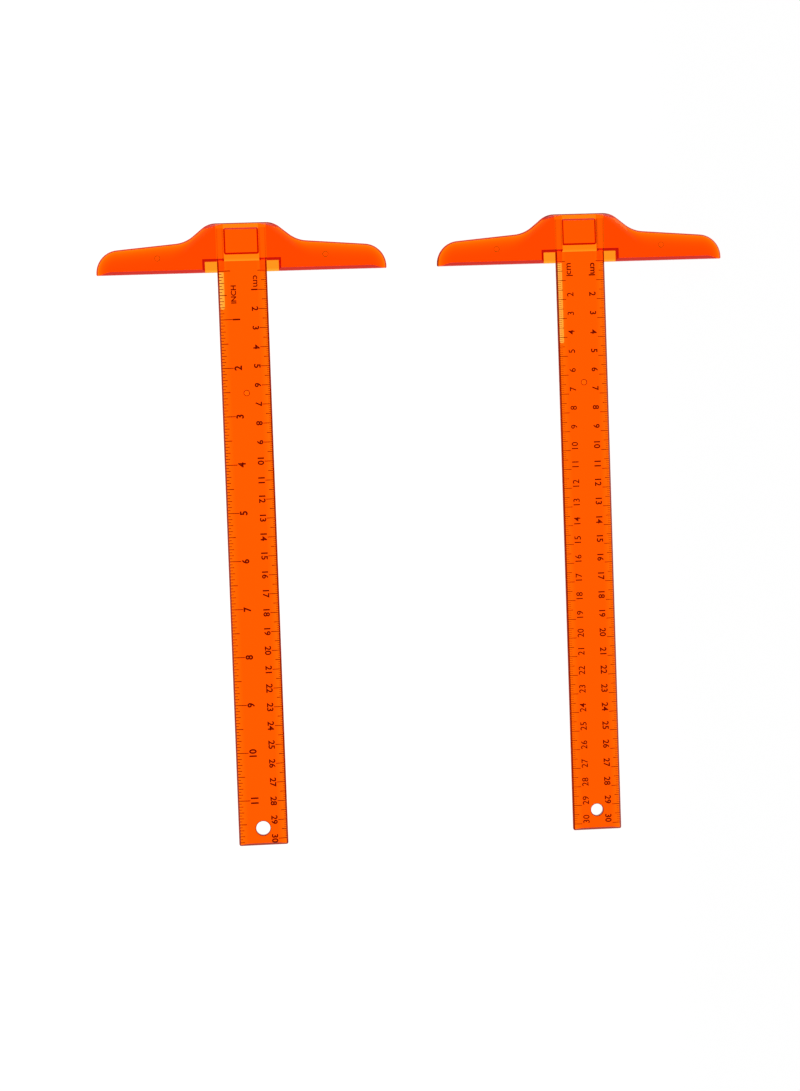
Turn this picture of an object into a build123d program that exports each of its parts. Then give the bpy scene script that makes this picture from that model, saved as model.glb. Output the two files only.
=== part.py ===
from build123d import *
import os
from math import hypot

# A pair of moulded translucent plastic T-squares, lying flat side by side, readable faces up.
# Each one is two mouldings: a head with a pair of channels under its hub, and a ruler blade whose
# forked end slides into those channels.  Millimetres; +X across, +Y from the blades towards the
# heads, +Z up.  The origin is the centre of the underside of the pair's bounding box.

# ---- the pair ----
SQUARE_SPACING = 178.7  # between the two blades' centrelines
BLADE_REACH = 303.1  # from a head's working edge to the far end of its blade

# ---- head outline ----
HEAD_HALF_LENGTH = 76.0
HEAD_HEIGHT = 25.8  # working edge to the top of the hub
HEAD_THICKNESS = 4.4
SHOULDER_X = 17.1  # where the hub's flat top and its sloping shoulder would meet
ARM_ROOT_X = 29.1  # where the shoulder and the arm's upper edge would meet
ARM_ROOT_HEIGHT = 16.1
ARM_TIP_HEIGHT = 12.2
SHOULDER_RADIUS = 11.6
ARM_ROOT_RADIUS = 16.8
TIP_RADIUS = 12.0
TOE_RADIUS = 0.7  # the small round between an arm's tip and the working edge

# ---- head edges ----
CROWN_DROP = 2.7  # the readable face curves down towards the upper outline
CROWN_POWER = 1.15  # 1 would be a straight slope
CROWN_STEPS = 5
END_CROWN_WIDTH = 7.0
ARM_CROWN_WIDTH = 10.0
SHOULDER_CROWN_WIDTH = 4.4
RIM_CHAMFER_WIDTH = 0.8  # the steep break where the crown meets the outline
RIM_CHAMFER_DROP = 0.85
UNDERCUT_WIDTH = 1.5  # short taper of the underside towards the outline
UNDERCUT_HEIGHT = 0.6
WORKING_EDGE_ROUND = 0.35  # on the underside
WORKING_EDGE_BEVEL_WIDTH = 1.5  # on the readable face
WORKING_EDGE_BEVEL_DROP = 2.2

# ---- head, hub details ----
WEB_THICKNESS = 1.5  # the thin plate under the blade's forked end
LIP_THICKNESS = 1.2  # the two lips beside the blade, in the notch
NOTCH_HALF_WIDTH = 19.3
NOTCH_DEPTH = 5.6
NOTCH_CHAMFER = 1.3
WINDOW_HALF_WIDTH = 9.15  # open middle of the hub, between the channel roofs
LIP_TAPER_WIDTH = 1.7
LIP_TAPER_DROP = 0.4
PAD_BOTTOM = 9.2
PAD_TOP = 23.1
PAD_RISE = 1.2  # above the web
PAD_CORNER = 1.0
PAD_CHAMFER = 0.9
BEAD_X = 10.9  # friction beads on the lips, under the blade's edges
BEAD_Y = 2.5
BEAD_RADIUS = 1.3
BEAD_RISE = 0.12  # above the web's level
EJECTOR_X = 44.0
EJECTOR_Y = 7.9
EJECTOR_RADIUS = 1.6
EJECTOR_DEPTH = 0.35  # its wall slopes at 45 degrees

# ---- blade ----
BLADE_WIDTH = 26.0
BLADE_THICKNESS = 2.4
EDGE_THICKNESS = 1.7  # at the thin graduated edges
EDGE_BEVEL_WIDTH = 5.5
PRONG_THICKNESS = 1.7
PRONG_TIP = 22.8
BLADE_CORNER = 1.1
BLADE_CHAMFER = 0.9  # along the graduated edges
END_CHAMFER = 1.3  # across the free end
HOLE_CHAMFER = 0.4
PRONG_CHAMFER = 0.8
GROOVE_FROM_EDGE = 2.2  # a groove under the left edge, from the working edge down
GROOVE_WIDTH = 2.4
GROOVE_DEPTH = 1.15
GATE_FROM_EDGE = 63.6  # the moulding gate's scar, on the centreline
GATE_RADIUS = 1.65
GATE_DEPTH = 0.35  # its wall slopes at 45 degrees
GATE_STUB_RADIUS = 0.7
GATE_STUB_HEIGHT = 0.12

# ---- running fits ----
LIFT_CLEARANCE = 0.15  # under the blade, which rides on the beads
SIDE_CLEARANCE = 0.10
ROOF_CLEARANCE = 0.10

# ---- what differs between the two squares: side of the pair, hanging hole, groove ----
SQUARES = {
    "inch_square": {"side": -1, "hole_radius": 3.75, "hole_from_end": 9.2, "groove": 19.6},
    "metric_square": {"side": 1, "hole_radius": 3.2, "hole_from_end": 10.8, "groove": 42.6},
}

# ---- worked-out values ----
BLADE_BOTTOM = WEB_THICKNESS + LIFT_CLEARANCE
CHANNEL_ROOF = BLADE_BOTTOM + PRONG_THICKNESS + ROOF_CLEARANCE
HALF_BLADE = BLADE_WIDTH / 2
WORKING_EDGE_Y = (BLADE_REACH - HEAD_HEIGHT) / 2
BEYOND = 12.0  # how far a cutting tool overshoots the body it cuts


def block(x, y, z):
    """A box given by its (low, high) pair along each axis."""
    size = [high - low for low, high in (x, y, z)]
    middle = [(high + low) / 2 for low, high in (x, y, z)]
    return Pos(*middle) * Box(*size)


def inset_corner(before, corner, after, insets):
    """Where a corner goes when the sides before and after it move inwards by the two insets."""
    normals = []
    for start, end in ((before, corner), (corner, after)):
        run = (end[0] - start[0], end[1] - start[1])
        length = hypot(*run)
        normals.append((run[1] / length, -run[0] / length))
    (ax, ay), (bx, by) = normals
    overlap = ax * bx + ay * by
    first = (insets[0] - insets[1] * overlap) / (1 - overlap**2)
    second = (insets[1] - insets[0] * overlap) / (1 - overlap**2)
    return (corner[0] + first * ax + second * bx, corner[1] + first * ay + second * by)


def crown_inset(share, width):
    """How far in from a side the crown has come, from the rim chamfer (0) to its full width (1)."""
    return RIM_CHAMFER_WIDTH + share * (width - RIM_CHAMFER_WIDTH)


def head_outline(end, arm, shoulder, foot):
    """The head's outline with its ends, arm tops and shoulders moved inwards, and its foot at y.

    It runs clockwise from the left foot, over the hub, to the right foot.  The hub's flat top
    moves in no further than the rim chamfer, so the channels keep their roofs to the very top.
    """
    right = [
        ((SHOULDER_X, HEAD_HEIGHT), SHOULDER_RADIUS - shoulder),
        ((ARM_ROOT_X, ARM_ROOT_HEIGHT), ARM_ROOT_RADIUS + (arm + shoulder) / 2),
        ((HEAD_HALF_LENGTH, ARM_TIP_HEIGHT), TIP_RADIUS - (arm + end) / 2),
    ]
    left = [((-x, y), radius) for (x, y), radius in reversed(right)]
    corners = left + right
    path = [(-HEAD_HALF_LENGTH, foot)] + [xy for xy, _ in corners] + [(HEAD_HALF_LENGTH, foot)]
    hub = min(shoulder, RIM_CHAMFER_WIDTH)
    sides = [end, arm, shoulder, hub, shoulder, arm, end]
    moved = [
        inset_corner(path[i - 1], path[i], path[i + 1], (sides[i - 1], sides[i]))
        for i in range(1, len(path) - 1)
    ]
    low_left = (-HEAD_HALF_LENGTH + end, foot)
    low_right = (HEAD_HALF_LENGTH - end, foot)
    upper = FilletPolyline(low_left, *moved, low_right, radius=[radius for _, radius in corners])
    return make_face(upper.edges() + [Line(low_right, low_left)])


def tapered_slab(low_insets, high_insets, low_z, high_z):
    """A slab of the head whose upper outline slopes between two sets of insets."""
    low = Pos(0, 0, low_z) * head_outline(*low_insets, -BEYOND)
    high = Pos(0, 0, high_z) * head_outline(*high_insets, -BEYOND)
    return loft([low, high], ruled=True)


def crown_profile():
    """The readable face's fall towards the upper outline: (insets, height) pairs, outside first."""
    widths = (END_CROWN_WIDTH, ARM_CROWN_WIDTH, SHOULDER_CROWN_WIDTH)
    profile = [((0, 0, 0), HEAD_THICKNESS - CROWN_DROP - RIM_CHAMFER_DROP)]
    for step in range(CROWN_STEPS + 1):
        share = step / CROWN_STEPS
        insets = [crown_inset(share, width) for width in widths]
        profile.append((insets, HEAD_THICKNESS - CROWN_DROP * (1 - share) ** CROWN_POWER))
    return profile


def head_blank():
    """The solid head before its hub is cut: flat arms with a crowned upper outline."""
    crown = crown_profile()
    outside = (0, 0, 0)
    undercut = (UNDERCUT_WIDTH, UNDERCUT_WIDTH, UNDERCUT_WIDTH)
    body = tapered_slab(undercut, outside, 0, UNDERCUT_HEIGHT)
    body += tapered_slab(outside, outside, UNDERCUT_HEIGHT, crown[0][1])
    for (low_insets, low_z), (high_insets, high_z) in zip(crown, crown[1:]):
        body += tapered_slab(low_insets, high_insets, low_z, high_z)
    toes = extrude(head_outline(*outside, 0), HEAD_THICKNESS)
    toe_edges = toes.edges().filter_by(Axis.Z).group_by(Axis.Y)[0]
    body &= fillet(toe_edges, TOE_RADIUS)
    foot_edges = body.edges().filter_by(Axis.X).filter_by(lambda edge: abs(edge.center().Y) < 0.01)
    body = fillet(foot_edges.group_by(Axis.Z)[0], WORKING_EDGE_ROUND)
    bevel = (WORKING_EDGE_BEVEL_WIDTH, WORKING_EDGE_BEVEL_DROP)
    return body - front_wedge(HEAD_HALF_LENGTH + 1, 0, HEAD_THICKNESS, *bevel)


def front_wedge(half_width, edge_y, top, width, drop):
    """The wedge taken off a plate's upper front edge, which runs across at y = edge_y."""
    profile = make_face(
        Polyline(
            (edge_y, top - drop),
            (edge_y + width, top),
            (edge_y - 1, top),
            (edge_y - 1, top - drop),
            close=True,
        )
    )
    return extrude(Plane.YZ * profile, half_width, both=True)


def notch_mouth():
    """The funnel that chamfers the top of the notch's three walls."""
    low_z = HEAD_THICKNESS - NOTCH_CHAMFER
    sections = []
    for spread, z in ((0, low_z), (NOTCH_CHAMFER, HEAD_THICKNESS)):
        width = 2 * (NOTCH_HALF_WIDTH + spread)
        depth = NOTCH_DEPTH + spread + BEYOND
        sections.append(Pos(0, depth / 2 - BEYOND, z) * Rectangle(width, depth))
    return loft(sections, ruled=True)


def pad():
    """The square thumb pad that stands on the web between the prongs."""
    middle = (PAD_BOTTOM + PAD_TOP) / 2
    outline = RectangleRounded(2 * WINDOW_HALF_WIDTH, PAD_TOP - PAD_BOTTOM, PAD_CORNER)
    base = Pos(0, middle, WEB_THICKNESS) * outline
    return chamfer(extrude(base, PAD_RISE).edges().group_by(Axis.Z)[-1], PAD_CHAMFER)


def bead(side):
    """A friction bead: the cap of a large ball standing out of the lip."""
    rise = WEB_THICKNESS + BEAD_RISE - LIP_THICKNESS
    ball_radius = (BEAD_RADIUS**2 + rise**2) / (2 * rise)
    centre_z = LIP_THICKNESS + rise - ball_radius
    ball = Pos(side * BEAD_X, BEAD_Y, centre_z) * Sphere(ball_radius)
    reach = 2 * BEAD_RADIUS
    keep = block(
        (side * BEAD_X - reach, side * BEAD_X + reach),
        (BEAD_Y - reach, BEAD_Y + reach),
        (LIP_THICKNESS / 2, HEAD_THICKNESS),
    )
    return ball & keep


def make_head():
    """One head: arms, notched hub, window with its pad, and the two channels for the prongs."""
    above = HEAD_THICKNESS + 1
    channel_wall = HALF_BLADE + SIDE_CLEARANCE
    head = head_blank()
    notch = (-NOTCH_HALF_WIDTH, NOTCH_HALF_WIDTH)
    window = (-WINDOW_HALF_WIDTH, WINDOW_HALF_WIDTH)
    head -= block(notch, (-1, NOTCH_DEPTH), (LIP_THICKNESS, above))
    head -= notch_mouth()
    head -= block(window, (-1, HEAD_HEIGHT + 1), (WEB_THICKNESS, above))
    channels = (-channel_wall, channel_wall)
    head -= block(channels, (-1, HEAD_HEIGHT + 1), (WEB_THICKNESS, CHANNEL_ROOF))
    head -= block(window, (-1, NOTCH_DEPTH), (-1, above))
    head -= front_wedge(NOTCH_HALF_WIDTH, 0, LIP_THICKNESS, LIP_TAPER_WIDTH, LIP_TAPER_DROP)
    head -= front_wedge(WINDOW_HALF_WIDTH, NOTCH_DEPTH, WEB_THICKNESS, LIP_TAPER_WIDTH, LIP_TAPER_DROP)
    head += pad()
    for side in (-1, 1):
        head += bead(side)
        mark = Pos(side * EJECTOR_X, EJECTOR_Y, EJECTOR_DEPTH / 2)
        head -= mark * Cone(EJECTOR_RADIUS, EJECTOR_RADIUS - EJECTOR_DEPTH, EJECTOR_DEPTH)
    return head


def ruler_section():
    """The ruler's cross-section: flat underside, two bevels, and a chamfer along each edge."""
    rim_x = HALF_BLADE - BLADE_CHAMFER
    rim_z = EDGE_THICKNESS + (BLADE_THICKNESS - EDGE_THICKNESS) * BLADE_CHAMFER / EDGE_BEVEL_WIDTH
    right = [
        (HALF_BLADE, 0),
        (HALF_BLADE, rim_z - BLADE_CHAMFER),
        (rim_x, rim_z),
        (HALF_BLADE - EDGE_BEVEL_WIDTH, BLADE_THICKNESS),
    ]
    left = [(-x, z) for x, z in reversed(right)]
    return make_face(Polyline(*right, *left, close=True))


def prong(side, fork_y):
    """One prong of the fork, chamfered along the top."""
    x = sorted((side * (WINDOW_HALF_WIDTH + SIDE_CLEARANCE), side * HALF_BLADE))
    bar = block(x, (fork_y, PRONG_TIP), (0, PRONG_THICKNESS))
    return chamfer(bar.edges().filter_by(Axis.Y).group_by(Axis.Z)[-1], PRONG_CHAMFER)


def groove(length):
    """The groove under the left edge, with a round lower end."""
    radius = GROOVE_WIDTH / 2
    x = GROOVE_FROM_EDGE - HALF_BLADE
    straight = block((x - radius, x + radius), (radius - length, 0), (0, GROOVE_DEPTH))
    return straight + Pos(x, radius - length, GROOVE_DEPTH / 2) * Cylinder(radius, GROOVE_DEPTH)


def make_blade(hole_radius, hole_from_end, groove_length):
    """One blade: bevelled graduated edges, hanging hole, gate scar and forked end."""
    fork_y = NOTCH_DEPTH - SIDE_CLEARANCE
    blade = Pos(0, fork_y, 0) * extrude(Plane.XZ * ruler_section(), BLADE_REACH + fork_y)
    blade = fillet(blade.edges().filter_by(Axis.Z).group_by(Axis.Y)[0], BLADE_CORNER)
    blade -= front_wedge(HALF_BLADE, -BLADE_REACH, BLADE_THICKNESS, END_CHAMFER, END_CHAMFER)
    blade += [prong(side, fork_y) for side in (-1, 1)]
    hole = Pos(0, hole_from_end - BLADE_REACH, BLADE_THICKNESS / 2)
    blade -= hole * Cylinder(hole_radius, BLADE_THICKNESS)
    hole_mouth = Pos(0, 0, (BLADE_THICKNESS - HOLE_CHAMFER) / 2)
    blade -= hole * hole_mouth * Cone(hole_radius, hole_radius + HOLE_CHAMFER, HOLE_CHAMFER)
    blade -= groove(groove_length)
    scar_floor = BLADE_THICKNESS - GATE_DEPTH
    scar = Cone(GATE_RADIUS - GATE_DEPTH, GATE_RADIUS, GATE_DEPTH)
    blade -= Pos(0, -GATE_FROM_EDGE, scar_floor + GATE_DEPTH / 2) * scar
    stub = Cylinder(GATE_STUB_RADIUS, GATE_STUB_HEIGHT)
    blade += Pos(0, -GATE_FROM_EDGE, scar_floor + GATE_STUB_HEIGHT / 2) * stub
    return Pos(0, 0, BLADE_BOTTOM) * blade


os.makedirs("parts", exist_ok=True)
shared_head = make_head()
for name, square in SQUARES.items():
    place = Pos(square["side"] * SQUARE_SPACING / 2, WORKING_EDGE_Y, 0)
    ruler = make_blade(square["hole_radius"], square["hole_from_end"], square["groove"])
    export_step(place * shared_head, f"parts/{name}_head.step")
    export_step(place * ruler, f"parts/{name}_blade.step")
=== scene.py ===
import math

import bmesh
import bpy
from mathutils import Matrix, Vector


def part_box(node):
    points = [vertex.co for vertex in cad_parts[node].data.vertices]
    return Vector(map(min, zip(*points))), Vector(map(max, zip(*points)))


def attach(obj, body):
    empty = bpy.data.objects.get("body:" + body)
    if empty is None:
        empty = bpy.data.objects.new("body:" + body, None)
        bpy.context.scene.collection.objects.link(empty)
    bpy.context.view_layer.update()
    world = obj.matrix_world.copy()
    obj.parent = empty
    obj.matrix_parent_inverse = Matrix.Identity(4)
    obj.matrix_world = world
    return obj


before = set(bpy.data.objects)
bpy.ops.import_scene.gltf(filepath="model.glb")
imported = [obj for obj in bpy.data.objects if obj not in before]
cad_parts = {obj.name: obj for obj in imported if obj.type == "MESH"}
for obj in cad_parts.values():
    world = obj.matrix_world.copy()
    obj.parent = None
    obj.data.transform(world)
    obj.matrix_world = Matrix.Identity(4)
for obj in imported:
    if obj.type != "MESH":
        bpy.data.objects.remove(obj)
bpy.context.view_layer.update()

MM = 0.001

# ---- the blades' bevelled top, as the CAD has it ----
EDGE_BEVEL_WIDTH = 5.5 * MM
EDGE_BEVEL_DROP = 0.7 * MM

# ---- printed ink: marks start at the edge's chamfer, zero lies just inside the working edge ----
INK_HEIGHT = 0.02 * MM
INK_DEPTH = 0.02 * MM
TICK_START = 0.9 * MM
ZERO_INSIDE = 0.4 * MM
INCH = 25.4 * MM
CENTIMETRE = 10 * MM
LAST_INCH = 11
LAST_SIXTEENTH = LAST_INCH * 16 + 14
LAST_CENTIMETRE = 30
LAST_MILLIMETRE = LAST_CENTIMETRE * 10

# ---- camera: nearly overhead, a little to one side ----
CAMERA_AT = Vector((-74.3, 33.4, 996.2)) * MM
CAMERA_TARGET = Vector((-11.3, -8.2, 0.0)) * MM
CAMERA_ROLL = math.radians(2.0)
CAMERA_LENS = 62.0

# ---- light: (elevation in degrees, brightness) of the surroundings, and the floor's own glow ----
TENT = ((0, 0.2), (14, 0.2), (30, 0.03), (90, 0.02))
FLOOR_GLOW = (1.04, 0.97)

# ---- the plastic: a dye that absorbs with depth, a painted glow standing in for its fluorescence, painted shade on the walls ----
DYE_COLOUR = (0.991, 0.664, 0.0, 1)
DYE_DENSITY = 3600.0
FACE_TINT = (1.0, 0.98, 0.95, 1)
# painted glow: the plastic gives off light of its own under any lamp, standing in for its fluorescence;
# the walls glow less, as part of their painted shade
BLADE_PAINTED_GLOW = (0.10, 0.052, 0.0, 1)
HEAD_PAINTED_GLOW = (0.13, 0.060, 0.0, 1)
WALL_PAINTED_GLOW = (0.06, 0.003, 0.0, 1)
# painted shade: dark colour on walls and chamfers draws the dark outlines along the edges, lighter for
# the head and its hub
BLADE_EDGE_PAINTED_SHADE = (0.05, 0.003, 0.0, 1)
HEAD_EDGE_PAINTED_SHADE = (0.25, 0.003, 0.0, 1)
HUB_FROM = 5.0 * MM  # from the working edge
SPECULAR_TINT = (1.0, 0.45, 0.25, 1)


# ------------------------------------------------------------------ materials
def new_material(name):
    material = bpy.data.materials.new(name)
    material.use_nodes = True
    nodes = material.node_tree.nodes
    return material, nodes, material.node_tree.links, nodes["Principled BSDF"]


def add_node(nodes, kind, **inputs):
    node = nodes.new(kind)
    for socket, value in inputs.items():
        node.inputs[socket.replace("_", " ")].default_value = value
    return node


def scuffs(nodes, links, coordinates, low, high):
    """Roughness that wanders between two values in soft patches."""
    patches = add_node(nodes, "ShaderNodeTexNoise", Scale=35.0, Detail=5.0, Roughness=0.6)
    spread = add_node(nodes, "ShaderNodeMapRange", From_Min=0.35, From_Max=0.75, To_Min=low, To_Max=high)
    links.new(coordinates, patches.inputs["Vector"])
    links.new(patches.outputs["Fac"], spread.inputs["Value"])
    return spread.outputs["Result"]


def hairlines(nodes, links, coordinates, turn, stretch):
    """Fine straight scratches: noise drawn out along one direction."""
    place = add_node(nodes, "ShaderNodeMapping", Rotation=(0, 0, turn), Scale=stretch)
    lines = add_node(nodes, "ShaderNodeTexNoise", Scale=60.0, Detail=3.0, Roughness=0.7)
    sharp = add_node(nodes, "ShaderNodeMapRange", From_Min=0.62, From_Max=0.7)
    links.new(coordinates, place.inputs["Vector"])
    links.new(place.outputs["Vector"], lines.inputs["Vector"])
    links.new(lines.outputs["Fac"], sharp.inputs["Value"])
    return sharp.outputs["Result"]


def steep_faces(nodes, links):
    """1 on walls and chamfers, 0 on flat and gently sloping faces: where the painted wall shade and the
    dimmer painted glow go.
    """
    normal = nodes.new("ShaderNodeTexCoord").outputs["Normal"]
    split = nodes.new("ShaderNodeSeparateXYZ")
    upright = nodes.new("ShaderNodeMath")
    upright.operation = "ABSOLUTE"
    steep = add_node(nodes, "ShaderNodeMapRange", From_Min=0.75, From_Max=0.715)
    links.new(normal, split.inputs["Vector"])
    links.new(split.outputs["Z"], upright.inputs[0])
    links.new(upright.outputs["Value"], steep.inputs["Value"])
    return steep.outputs["Result"]


def painted_wall_shade(nodes, links, coordinates, open_painted_shade):
    """Painted shade for the walls: one darkness in the open, and the head's own lighter one inside the
    hub.
    """
    split = nodes.new("ShaderNodeSeparateXYZ")
    hub_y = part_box("inch_square_head")[0].y + HUB_FROM
    inside = add_node(nodes, "ShaderNodeMapRange", From_Min=hub_y, From_Max=hub_y + MM)
    shade_ramp = nodes.new("ShaderNodeValToRGB")
    shade_ramp.color_ramp.elements[0].color = open_painted_shade
    shade_ramp.color_ramp.elements[1].color = HEAD_EDGE_PAINTED_SHADE
    links.new(coordinates, split.inputs["Vector"])
    links.new(split.outputs["Y"], inside.inputs["Value"])
    links.new(inside.outputs["Result"], shade_ramp.inputs["Fac"])
    return shade_ramp.outputs["Color"]


def face_or_wall(nodes, links, steep, face, wall, target):
    """Feeds a colour socket with face on the flat faces and wall on walls and chamfers."""
    blend = nodes.new("ShaderNodeMix")
    blend.data_type = "RGBA"
    inputs = {socket.identifier: socket for socket in blend.inputs}
    outputs = {socket.identifier: socket for socket in blend.outputs}
    inputs["A_Color"].default_value = face
    if isinstance(wall, tuple):
        inputs["B_Color"].default_value = wall
    else:
        links.new(wall, inputs["B_Color"])
    links.new(steep, inputs["Factor_Float"])
    links.new(outputs["Result_Color"], target)


def moulded_surface(nodes, links, coordinates, flow_scale):
    """The small unevenness of a moulding: soft flow ripples, with hairline scratches over them."""
    flow = add_node(nodes, "ShaderNodeTexNoise", Scale=flow_scale, Detail=1.0)
    ripple = add_node(nodes, "ShaderNodeBump", Strength=0.25, Distance=0.4 * MM)
    scratch = add_node(nodes, "ShaderNodeBump", Strength=0.12, Distance=0.02 * MM)
    links.new(coordinates, flow.inputs["Vector"])
    links.new(flow.outputs["Fac"], ripple.inputs["Height"])
    links.new(hairlines(nodes, links, coordinates, 0.3, (1, 14, 1)), scratch.inputs["Height"])
    links.new(ripple.outputs["Normal"], scratch.inputs["Normal"])
    return scratch.outputs["Normal"]


def orange_plastic(name, flow_scale, glow, open_painted_shade):
    """Clear fluorescent orange plastic: the dye takes out blue and green with depth; a painted glow
    stands in for the fluorescence, and walls and chamfers carry painted shade.
    """
    material, nodes, links, surface = new_material(name)
    surface.inputs["Transmission Weight"].default_value = 1.0
    surface.inputs["IOR"].default_value = 1.5
    surface.inputs["Specular IOR Level"].default_value = 0.25
    surface.inputs["Specular Tint"].default_value = SPECULAR_TINT
    surface.inputs["Emission Strength"].default_value = 1.0
    place = nodes.new("ShaderNodeTexCoord").outputs["Object"]
    steep = steep_faces(nodes, links)
    walls = painted_wall_shade(nodes, links, place, open_painted_shade)
    # walls and chamfers get painted shade in the base colour
    face_or_wall(nodes, links, steep, FACE_TINT, walls, surface.inputs["Base Color"])
    # painted glow on the faces, a dimmer one on walls and chamfers
    face_or_wall(nodes, links, steep, glow, WALL_PAINTED_GLOW, surface.inputs["Emission Color"])
    links.new(scuffs(nodes, links, place, 0.015, 0.07), surface.inputs["Roughness"])
    links.new(moulded_surface(nodes, links, place, flow_scale), surface.inputs["Normal"])
    dye = nodes.new("ShaderNodeVolumeAbsorption")
    dye.inputs["Color"].default_value = DYE_COLOUR
    dye.inputs["Density"].default_value = DYE_DENSITY
    links.new(dye.outputs["Volume"], nodes["Material Output"].inputs["Volume"])
    return material


def scale_ink():
    """Thin dark ink, a little uneven where it was pressed on, with a faint painted red glow of its own.
    """
    material, nodes, links, surface = new_material("scale_ink")
    place = nodes.new("ShaderNodeTexCoord").outputs["Object"]
    cover = add_node(nodes, "ShaderNodeTexNoise", Scale=900.0, Detail=4.0)
    tone = nodes.new("ShaderNodeValToRGB")
    tone.color_ramp.elements[0].position = 0.35
    tone.color_ramp.elements[0].color = (0.30, 0.006, 0.0, 1)
    tone.color_ramp.elements[1].position = 0.7
    tone.color_ramp.elements[1].color = (0.50, 0.012, 0.0, 1)
    links.new(place, cover.inputs["Vector"])
    links.new(cover.outputs["Fac"], tone.inputs["Fac"])
    links.new(tone.outputs["Color"], surface.inputs["Base Color"])
    links.new(scuffs(nodes, links, place, 0.6, 0.8), surface.inputs["Roughness"])
    surface.inputs["Specular IOR Level"].default_value = 0.1
    # painted glow: the ink gives off a faint red light of its own, under any lamp
    surface.inputs["Emission Color"].default_value = (1.0, 0.02, 0.0, 1)
    surface.inputs["Emission Strength"].default_value = 0.14
    return material


def light_table():
    """White opal floor, lit from below and a little brighter to the left."""
    material, nodes, links, surface = new_material("white_floor")
    surface.inputs["Base Color"].default_value = (0.55, 0.55, 0.55, 1)
    surface.inputs["Roughness"].default_value = 0.9
    surface.inputs["Specular IOR Level"].default_value = 0.0
    surface.inputs["Emission Strength"].default_value = 1.0
    place = nodes.new("ShaderNodeTexCoord").outputs["Object"]
    split = nodes.new("ShaderNodeSeparateXYZ")
    left, right = FLOOR_GLOW
    glow = add_node(nodes, "ShaderNodeMapRange", From_Min=-0.15, From_Max=0.15, To_Min=left, To_Max=right)
    links.new(place, split.inputs["Vector"])
    links.new(split.outputs["X"], glow.inputs["Value"])
    links.new(glow.outputs["Result"], surface.inputs["Emission Color"])
    return material


# ------------------------------------------------------------------ printed scales
class Blade:
    """Where one square's blade and working edge are, read from the CAD."""

    def __init__(self, square):
        low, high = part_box(f"{square}_blade")
        self.square = square
        self.body = square.replace("_square", "_blade")
        self.centre = (low.x + high.x) / 2
        self.half_width = (high.x - low.x) / 2
        self.top = high.z
        self.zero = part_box(f"{square}_head")[0].y + ZERO_INSIDE
        self.crease = self.half_width - EDGE_BEVEL_WIDTH

    def surface(self, x):
        """Height of the blade's top at a distance x from the centreline."""
        return self.top - max(0.0, abs(x) - self.crease) * EDGE_BEVEL_DROP / EDGE_BEVEL_WIDTH


def lay_ink(blade, flat, name):
    """Turns flat shapes, drawn in the blade's own plane, into thin ink on its bevelled top.

    In the flat shapes x runs across from the centreline, and y from the zero line to the heads.
    """
    for x in (-blade.crease, blade.crease):
        everything = flat.verts[:] + flat.edges[:] + flat.faces[:]
        bmesh.ops.bisect_plane(flat, geom=everything, plane_co=(x, 0, 0), plane_no=(1, 0, 0))
    bmesh.ops.recalc_face_normals(flat, faces=flat.faces[:])
    raised = bmesh.ops.extrude_face_region(flat, geom=flat.faces[:])["geom"]
    upper = {item for item in raised if isinstance(item, bmesh.types.BMVert)}
    for vertex in flat.verts:
        lift = INK_HEIGHT if vertex in upper else -INK_DEPTH
        vertex.co.z = blade.surface(vertex.co.x) + lift
    bmesh.ops.recalc_face_normals(flat, faces=flat.faces[:])
    mesh = bpy.data.meshes.new(name)
    flat.to_mesh(mesh)
    flat.free()
    mesh.transform(Matrix.Translation((blade.centre, blade.zero, 0)))
    mesh.materials.append(ink)
    piece = bpy.data.objects.new(name, mesh)
    bpy.context.scene.collection.objects.link(piece)
    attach(piece, blade.body)
    return piece


def add_bar(flat, side, blade, distance, length, width):
    """One graduation: a bar from the chamfer to a length in from the edge, at a distance from zero."""
    outer = side * (blade.half_width - TICK_START)
    inner = side * (blade.half_width - length)
    corners = [(outer, -width / 2), (inner, -width / 2), (inner, width / 2), (outer, width / 2)]
    flat.faces.new([flat.verts.new((x, y - distance, 0)) for x, y in corners])


def add_figure(flat, text, height, weight, stretch, place):
    """Adds one numeral or word, as a filled outline of that height, moved to its place."""
    curve = bpy.data.curves.new("figure", "FONT")
    curve.body = text
    curve.resolution_u = 3
    curve.offset = weight
    holder = bpy.data.objects.new("figure", curve)
    outline = bpy.data.meshes.new_from_object(holder)
    xs = [vertex.co.x for vertex in outline.vertices]
    ys = [vertex.co.y for vertex in outline.vertices]
    scale = height / (max(ys) - min(ys))
    centring = Matrix.Translation((-(max(xs) + min(xs)) / 2, -(max(ys) + min(ys)) / 2, 0))
    outline.transform(place @ Matrix.Diagonal((scale * stretch, scale, 1, 1)) @ centring)
    flat.from_mesh(outline)
    bpy.data.meshes.remove(outline)
    bpy.data.objects.remove(holder)
    bpy.data.curves.remove(curve)


def print_marks(blade, side, name, last, step, lengths, widths):
    """The graduations 0 to last along one edge.

    lengths and widths give a size for each divisor, and a mark takes that of the first one that
    divides its number.
    """
    flat = bmesh.new()
    for number in range(last + 1):
        divisor = next(d for d in lengths if number % d == 0)
        add_bar(flat, side, blade, number * step, lengths[divisor], widths[divisor])
    return lay_ink(blade, flat, name)


def upright_at(blade, side, inset, height, distance):
    """Where a figure goes beside an edge, its top towards that edge and its middle at distance."""
    x = side * (blade.half_width - inset - height / 2)
    return Matrix.Translation((x, -distance, 0)) @ Matrix.Rotation(-side * math.pi / 2, 4, "Z")


def print_texts(blade, side, name, texts, inset, height, weight, stretch):
    """Words or numerals along one edge; texts pairs each one with its distance from the zero."""
    flat = bmesh.new()
    for text, distance in texts:
        place = upright_at(blade, side, inset, height, distance)
        add_figure(flat, text, height, weight, stretch, place)
    return lay_ink(blade, flat, name)


def numerals(last, step, before):
    """The numbers 1 to last with their places, each one's middle a little before its graduation."""
    return [(str(number), number * step - before) for number in range(1, last + 1)]


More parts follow.
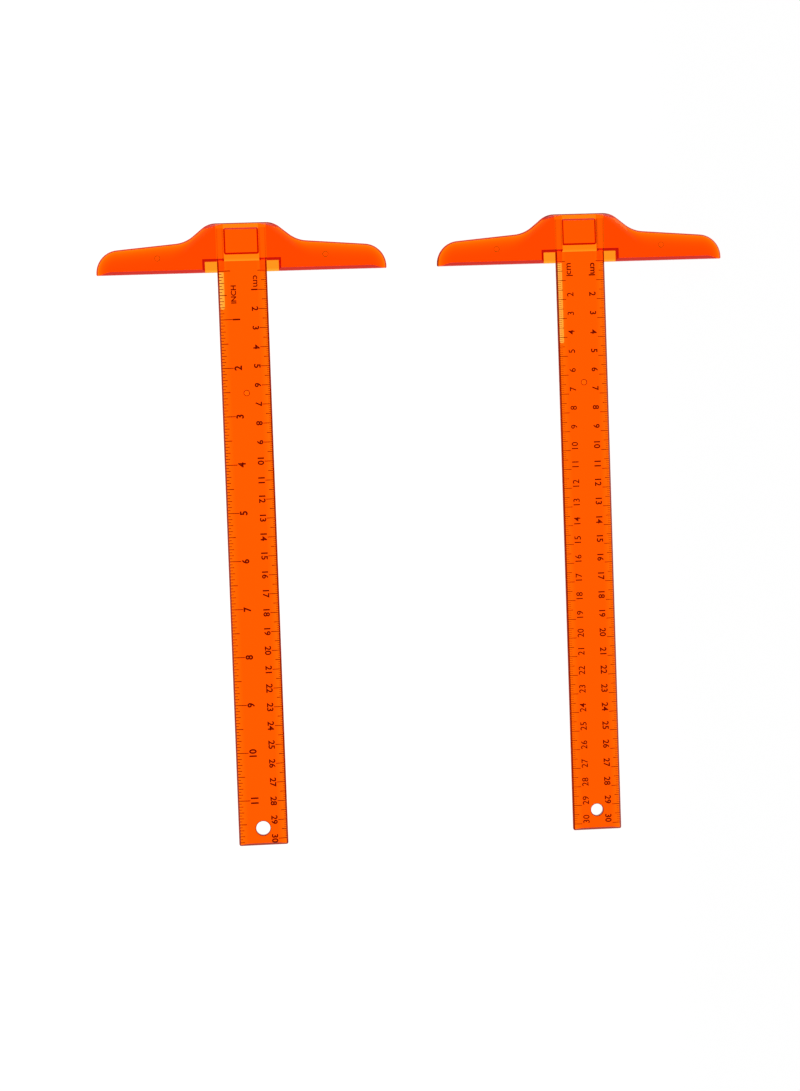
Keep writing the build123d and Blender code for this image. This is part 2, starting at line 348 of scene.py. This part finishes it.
def print_inch_square():
    """Inches along the left edge, in sixteenths, and centimetres along the right edge."""
    blade = Blade("inch_square")
    left, right = -1, 1
    prefix = blade.square
    lengths = {16: 6.8 * MM, 8: 4.5 * MM, 4: 3.3 * MM, 2: 3.0 * MM, 1: 2.2 * MM}
    widths = {16: 0.42 * MM, 8: 0.42 * MM, 4: 0.36 * MM, 2: 0.36 * MM, 1: 0.34 * MM}
    print_marks(blade, left, f"{prefix}_inch_marks", LAST_SIXTEENTH, INCH / 16, lengths, widths)
    inches = numerals(LAST_INCH, INCH, 0)
    print_texts(blade, left, f"{prefix}_inch_figures", inches, 7.0 * MM, 4.1 * MM, 0.035, 0.95)
    word = [("INCH", 12.3 * MM)]
    print_texts(blade, left, f"{prefix}_inch_word", word, 6.6 * MM, 2.9 * MM, 0.03, 1.05)
    lengths = {10: 5.0 * MM, 5: 3.3 * MM, 1: 1.9 * MM}
    widths = {10: 0.38 * MM, 5: 0.38 * MM, 1: 0.24 * MM}
    print_marks(blade, right, f"{prefix}_cm_marks", LAST_MILLIMETRE, CENTIMETRE / 10, lengths, widths)
    centimetres = numerals(LAST_CENTIMETRE, CENTIMETRE, 0)
    print_texts(blade, right, f"{prefix}_cm_figures", centimetres, 5.2 * MM, 3.5 * MM, 0.03, 1.05)
    word = [("cm", 5.6 * MM)]
    print_texts(blade, right, f"{prefix}_cm_word", word, 5.2 * MM, 2.4 * MM, 0.015, 1.1)


def print_metric_square():
    """Centimetres along both edges; the numerals on the right are a little bolder."""
    blade = Blade("metric_square")
    prefix = blade.square
    lengths = {10: 4.9 * MM, 5: 3.4 * MM, 1: 2.4 * MM}
    widths = {10: 0.34 * MM, 5: 0.32 * MM, 1: 0.2 * MM}
    centimetres = numerals(LAST_CENTIMETRE, CENTIMETRE, 2.6 * MM)
    word = [("cm", 3.9 * MM)]
    for side, edge, weight in ((-1, "left", 0.012), (1, "right", 0.025)):
        name = f"{prefix}_{edge}_marks"
        print_marks(blade, side, name, LAST_MILLIMETRE, CENTIMETRE / 10, lengths, widths)
        name = f"{prefix}_{edge}_figures"
        print_texts(blade, side, name, centimetres, 5.3 * MM, 3.5 * MM, weight, 1.0)
        print_texts(blade, side, f"{prefix}_{edge}_cm_word", word, 5.5 * MM, 2.4 * MM, weight, 1.1)


# ------------------------------------------------------------------ stage, light, camera
def make_stage():
    """The floor, a hair below the squares."""
    bpy.ops.mesh.primitive_plane_add(size=20.0, location=(0, 0, -0.05 * MM))
    floor = bpy.context.object
    floor.name = "floor"
    floor.data.materials.append(light_table())


def make_world():
    """Dim surroundings, a little brighter low down."""
    world = bpy.data.worlds.new("surroundings")
    bpy.context.scene.world = world
    world.use_nodes = True
    nodes, links = world.node_tree.nodes, world.node_tree.links
    direction = nodes.new("ShaderNodeTexCoord").outputs["Generated"]
    split = nodes.new("ShaderNodeSeparateXYZ")
    ramp = nodes.new("ShaderNodeValToRGB")
    steps = [(math.sin(math.radians(elevation)), brightness) for elevation, brightness in TENT]
    for position, brightness in steps[1:-1]:
        ramp.color_ramp.elements.new(position)
    for element, (_, brightness) in zip(ramp.color_ramp.elements, steps):
        element.color = (brightness, brightness, brightness, 1)
    links.new(direction, split.inputs["Vector"])
    links.new(split.outputs["Z"], ramp.inputs["Fac"])
    links.new(ramp.outputs["Color"], nodes["Background"].inputs["Color"])


def make_camera():
    """A camera that looks from CAMERA_AT to CAMERA_TARGET, turned about its own axis by the roll."""
    data = bpy.data.cameras.new("camera")
    data.lens = CAMERA_LENS
    camera = bpy.data.objects.new("camera", data)
    bpy.context.scene.collection.objects.link(camera)
    ahead = (CAMERA_TARGET - CAMERA_AT).normalized()
    up = Vector((math.sin(CAMERA_ROLL), math.cos(CAMERA_ROLL), 0))
    right = ahead.cross(up).normalized()
    turn = Matrix((right, right.cross(ahead), -ahead)).transposed()
    camera.matrix_world = Matrix.Translation(CAMERA_AT) @ turn.to_4x4()
    bpy.context.scene.camera = camera


def set_look():
    """Plain colours, and enough bounces for light to get through every layer of plastic."""
    scene = bpy.context.scene
    scene.view_settings.view_transform = "Standard"
    scene.cycles.max_bounces = 24
    scene.cycles.transmission_bounces = 24
    scene.cycles.glossy_bounces = 12
    scene.cycles.diffuse_bounces = 6
    scene.cycles.caustics_refractive = True
    scene.cycles.caustics_reflective = True
    scene.cycles.use_denoising = True


ink = scale_ink()
plastics = {
    "blade": orange_plastic("blade_plastic", 40.0, BLADE_PAINTED_GLOW, BLADE_EDGE_PAINTED_SHADE),
    "head": orange_plastic("head_plastic", 60.0, HEAD_PAINTED_GLOW, HEAD_EDGE_PAINTED_SHADE),
}
for node_name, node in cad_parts.items():
    kind = node_name.rsplit("_", 1)[1]
    node.data.materials.clear()
    node.data.materials.append(plastics[kind])

print_inch_square()
print_metric_square()
make_stage()
make_world()
make_camera()
set_look()
